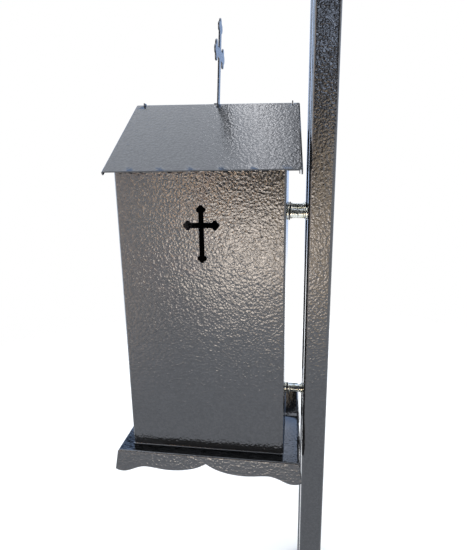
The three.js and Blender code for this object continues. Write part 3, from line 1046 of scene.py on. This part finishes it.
class GRAVECROSS_OT_fixings(bpy.types.Operator):
    """Make the bolts, washers, seals, nuts and rivet nuts of the three fixings"""

    bl_idname = "gravecross.fixings"
    bl_label = "Fixings"

    def execute(self, context):
        settings = context.scene.grave_cross
        for prefix in ("fix_right", "fix_left", "fix_low"):
            self.fixing(prefix, settings)
        return {"FINISHED"}

    def fixing(self, prefix, settings):
        sizes, look = settings.fixings, settings.finish
        bore = sizes.bolt / 2 + sizes.clearance
        limit = hexagon(sizes.flats, sizes.blunt)
        low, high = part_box(f"{prefix}_bolt")
        centre = (low + high) / 2

        def piece(part, slot, build):
            mesh = bmesh.new()
            build(mesh, *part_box(f"{prefix}_{part}"))
            thing = make_object(f"{prefix}_{part}_shape", mesh)
            soften(thing, 0, sharp=32)
            dress(thing, slot, look, f"{prefix}_{part}")

        def ring(mesh, start, stop):
            radius = (stop.x - start.x) / 2
            profile = washer_profile(bore, radius, start.y, stop.y, sizes.rounding)
            lathe(mesh, profile, centre, 64)

        def nut(mesh, start, stop):
            lathe(mesh, nut_profile(bore, sizes.flats, sizes.sink, start.y, stop.y), centre, 72, limit)

        def collared_nut(mesh, start, stop):
            radius = (stop.x - start.x) / 2
            waist = start.y + sizes.collar
            lathe(mesh, washer_profile(bore, radius, start.y, waist, sizes.rounding), centre, 64)
            profile = nut_profile(bore, sizes.flats, sizes.sink, waist - sizes.overlap, stop.y)
            lathe(mesh, profile, centre, 72, limit)

        def rivet_nut(mesh, start, stop):
            radius = (stop.x - start.x) / 2
            flange = start.y + sizes.flange
            lathe(mesh, washer_profile(bore, radius, start.y, flange, sizes.rounding), centre, 64)
            barrel = washer_profile(bore, sizes.barrel, flange - sizes.overlap, stop.y, sizes.rounding)
            lathe(mesh, barrel, centre, 48)

        piece("wall_washer", "zinc", ring)
        piece("seal", "seal_rubber", ring)
        piece("front_nut", "zinc", collared_nut)
        piece("back_nut", "zinc", nut)
        piece("post_washer", "zinc", ring)
        piece("rivet_nut", "zinc", rivet_nut)
        piece("bolt", "zinc", lambda mesh, start, stop: self.bolt(mesh, start, stop, centre, sizes, limit))

    @staticmethod
    def bolt(mesh, start, stop, centre, sizes, limit):
        """Hexagonal head and a threaded shank."""
        head = start.y + sizes.head
        profile = nut_profile(HEAD_DIMPLE, sizes.flats, sizes.sink, start.y, head, (True, False))
        lathe(mesh, profile, centre, 72, limit)
        radius = sizes.bolt / 2
        depth = sizes.pitch * 0.45
        steps, turns = 24, (stop.y - head) / sizes.pitch
        rings = []
        for step in range(round(turns * 8) + 1):
            y = head - sizes.overlap + (stop.y - head) * step / round(turns * 8)
            ring = []
            for index in range(steps):
                phase = (y / sizes.pitch - index / steps) % 1
                reach = radius - depth * (1 - abs(2 * phase - 1))
                turn = 2 * math.pi * index / steps
                ring.append(Vector((centre.x + reach * math.cos(turn), y, centre.z + reach * math.sin(turn))))
            rings.append(ring)
        rows = skin(mesh, rings)
        mesh.faces.new(rows[0])
        mesh.faces.new(rows[-1])


# Stage


# Light of the room below and above, and the light that spreads on rough surfaces
ROOM_LOW = (1.50, 1.52, 1.56)
ROOM_HIGH = (2.3, 2.4, 2.55)
SOFT_LIGHT = (1.12, 1.12, 1.12)
# Panels round the stage: turn from +X towards -Y, rise over the horizon, softness, all in degrees, and light
PANELS = (
    ((-60, 24), (7, 62), 2, (0.05, 0.05, 0.06)),
    ((24, 60), (-40, 40), 4, (2.6, 2.2, 1.9)),
    ((60, 118), (-30, 50), 4, (3.6, 4.3, 5.2)),
    ((3, 11.5), (-14, -7), 1.5, (14.5, 12.4, 10.2)),
    ((-3, 3), (-14, -7), 1.5, (10.0, 8.6, 7.2)),
    ((12, 13.8), (-5, 2.5), 0.6, (19.0, 12.4, 7.2)),
    ((-4, 10.5), (-4, 9), 1.0, (0.15, 0.12, 0.10)),
    ((14.5, 17.5), (-36, -17), 1.2, (0.62, 0.62, 0.66)),
    ((-8, -2), (-18, 5), 2.0, (3.6, 2.7, 1.7)),
    ((-10, -1), (14.5, 19), 1, (4.6, 5.3, 6.5)),
    ((130, 180), (-10, 50), 5, (0.55, 0.75, 1.15)),
    ((-180, -130), (-10, 50), 5, (0.55, 0.75, 1.15)),
    ((162.5, 166), (55, 80), 1.5, (1.25, 1.35, 1.55)),
    ((166.5, 174.8), (55, 80), 1.2, (5.8, 5.8, 5.9)),
    ((175.8, 180), (50, 80), 0.8, (0.25, 0.25, 0.3)),
)


class GRAVECROSS_OT_stage(bpy.types.Operator):
    """Set up the floor, the soft studio light and the camera"""

    bl_idname = "gravecross.stage"
    bl_label = "Stage"

    def execute(self, context):
        stage = context.scene.grave_cross.stage
        self.floor(stage)
        self.surroundings(context.scene)
        self.camera(context.scene, stage)
        context.scene.view_settings.view_transform = "Standard"
        return {"FINISHED"}

    @staticmethod
    def floor(stage):
        mesh = bmesh.new()
        bmesh.ops.create_circle(mesh, cap_ends=True, segments=96, radius=stage.floor_size)
        floor = make_object("floor", mesh)
        material = bpy.data.materials.new("pale_floor")
        nodes = Nodes(material)
        place = nodes.place()
        away = nodes.add("ShaderNodeVectorMath", {"operation": "LENGTH"}, {0: place}, "Value")
        cloud = nodes.noise(place, 0.4, 2)
        tint = nodes.mix(cloud, stage.floor, tuple(level * 0.99 for level in stage.floor))
        ground = nodes.add("ShaderNodeBsdfPrincipled", None, {"Base Color": tint, "Roughness": 0.9})
        clear = nodes.add("ShaderNodeBsdfTransparent")
        edge = nodes.smooth(away, stage.floor_size * 0.55, stage.floor_size * 0.98)
        nodes.finish(nodes.add("ShaderNodeMixShader", None, {0: edge, 1: ground, 2: clear}))
        floor.data.materials.append(material)

    @staticmethod
    def surroundings(scene):
        """White to the eye, with soft warm, cool and dark panels that the paint mirrors."""
        world = bpy.data.worlds.new("studio")
        scene.world = world
        nodes = Nodes(world)
        way = nodes.add("ShaderNodeTexCoord", output="Generated")
        x, y, z = (nodes.add("ShaderNodeSeparateXYZ", None, {0: way}, axis) for axis in range(3))
        turn = nodes.add("ShaderNodeMath", {"operation": "ARCTAN2"}, {0: y * -1, 1: x}) * math.degrees(1)
        rise = nodes.add("ShaderNodeMath", {"operation": "ARCSINE"}, {0: z}) * math.degrees(1)
        level = nodes.mix(nodes.smooth(rise, -10, 50), ROOM_LOW, ROOM_HIGH)
        for turns, rises, soft, tint in PANELS:
            mask = nodes.band(turn, *turns, soft) * nodes.band(rise, *rises, soft)
            level = nodes.mix(mask, level, tint)
        rays = nodes.add("ShaderNodeLightPath", output="Is Camera Ray")
        spread = nodes.add("ShaderNodeLightPath", output="Is Diffuse Ray")
        shown = nodes.mix(rays, nodes.mix(spread, level, SOFT_LIGHT), (1.0, 1.0, 1.0))
        light = nodes.add("ShaderNodeBackground", None, {"Color": shown, "Strength": 1.0})
        nodes.add("ShaderNodeOutputWorld", None, {"Surface": light})

    @staticmethod
    def camera(scene, stage):
        """Camera from its place, turn, tilt and roll."""
        c, s = math.cos(stage.turn), math.sin(stage.turn)
        ahead = Vector((-c * math.cos(stage.tilt), -s * math.cos(stage.tilt), math.sin(stage.tilt)))
        right = Vector((-s, c, 0))
        up = right.cross(ahead)
        across = right * math.cos(stage.roll) + up * math.sin(stage.roll)
        upward = up * math.cos(stage.roll) - right * math.sin(stage.roll)
        lens = bpy.data.cameras.new("camera")
        lens.lens = stage.focus
        lens.sensor_width = 36
        lens.clip_start = 0.01
        camera = bpy.data.objects.new("camera", lens)
        turned = Matrix((across, upward, -ahead)).transposed().to_4x4()
        camera.matrix_world = Matrix.Translation(stage.eye) @ turned
        scene.collection.objects.link(camera)
        scene.camera = camera


class GRAVECROSS_PT_pieces(bpy.types.Panel):
    """Lists the pieces in the order in which they are made"""

    bl_idname = "GRAVECROSS_PT_pieces"
    bl_label = "Grave Cross"
    bl_space_type = "VIEW_3D"
    bl_region_type = "UI"
    bl_category = "Grave Cross"

    def draw(self, context):
        column = self.layout.column()
        for operator in OPERATORS:
            column.operator(operator.bl_idname)
        for group in ("tubes", "lantern", "roof", "fixings", "finish", "stage"):
            box = self.layout.box()
            box.label(text=group.capitalize())
            values = getattr(context.scene.grave_cross, group)
            for name in values.__annotations__:
                box.prop(values, name)


OPERATORS = (
    GRAVECROSS_OT_stage,
    GRAVECROSS_OT_tubes,
    GRAVECROSS_OT_body,
    GRAVECROSS_OT_base,
    GRAVECROSS_OT_roof,
    GRAVECROSS_OT_lid_plates,
    GRAVECROSS_OT_fixings,
)
CLASSES = (
    GraveCrossTubes,
    GraveCrossLantern,
    GraveCrossRoof,
    GraveCrossFixings,
    GraveCrossFinish,
    GraveCrossStage,
    GraveCrossSettings,
    *OPERATORS,
    GRAVECROSS_PT_pieces,
)


def register():
    for item in CLASSES:
        bpy.utils.register_class(item)
    bpy.types.Scene.grave_cross = PointerProperty(type=GraveCrossSettings)


def unregister():
    del bpy.types.Scene.grave_cross
    for item in reversed(CLASSES):
        bpy.utils.unregister_class(item)


def main():
    """Make every piece."""
    register()
    bpy.ops.gravecross.stage()
    bpy.ops.gravecross.tubes()
    bpy.ops.gravecross.body()
    bpy.ops.gravecross.base()
    bpy.ops.gravecross.roof()
    bpy.ops.gravecross.lid_plates()
    bpy.ops.gravecross.fixings()
    bpy.context.view_layer.update()


if __name__ == "__main__":
    main()
